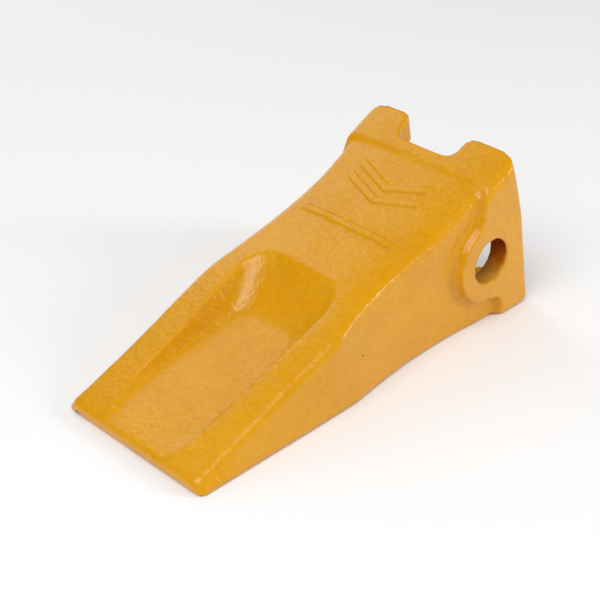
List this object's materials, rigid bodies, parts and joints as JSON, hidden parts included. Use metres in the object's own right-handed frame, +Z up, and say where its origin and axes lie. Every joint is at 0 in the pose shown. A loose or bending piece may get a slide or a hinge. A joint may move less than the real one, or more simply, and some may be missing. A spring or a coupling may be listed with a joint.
{
  "type": "excavator bucket tooth",
  "caption": "Cast wedge-shaped bucket tooth with a scooped top, a hollow socket behind and a cross pin through its two ears, gripped by a lock ring.",
  "frame": {"origin": "on the flat sole, in the tooth's middle plane, straight below the axis of the cross pin", "axes": "+X from the digging tip towards the socket's mouth, +Y across the tooth along the cross pin's way out, +Z up from the sole"},
  "size_m": [0.256, 0.1255, 0.1006],
  "materials": {
    "paint": "gloss yellow enamel over rough cast steel",
    "pin_steel": "turned bar, dull",
    "spring_steel": "blued spring steel",
    "rubber": "matte black moulded rubber"
  },
  "bodies": {
    "tooth": {"tooth_point": "paint", "lock_ring": "spring_steel", "lock_ring_rubber": "rubber"},
    "pin": {"retaining_pin": "pin_steel"}
  },
  "joints": [
    {"name": "pin_slide", "type": "slide", "parent": "tooth", "child": "pin", "axis": [0, 1, 0], "range_m": [-0.016, 0.095]}
  ]
}
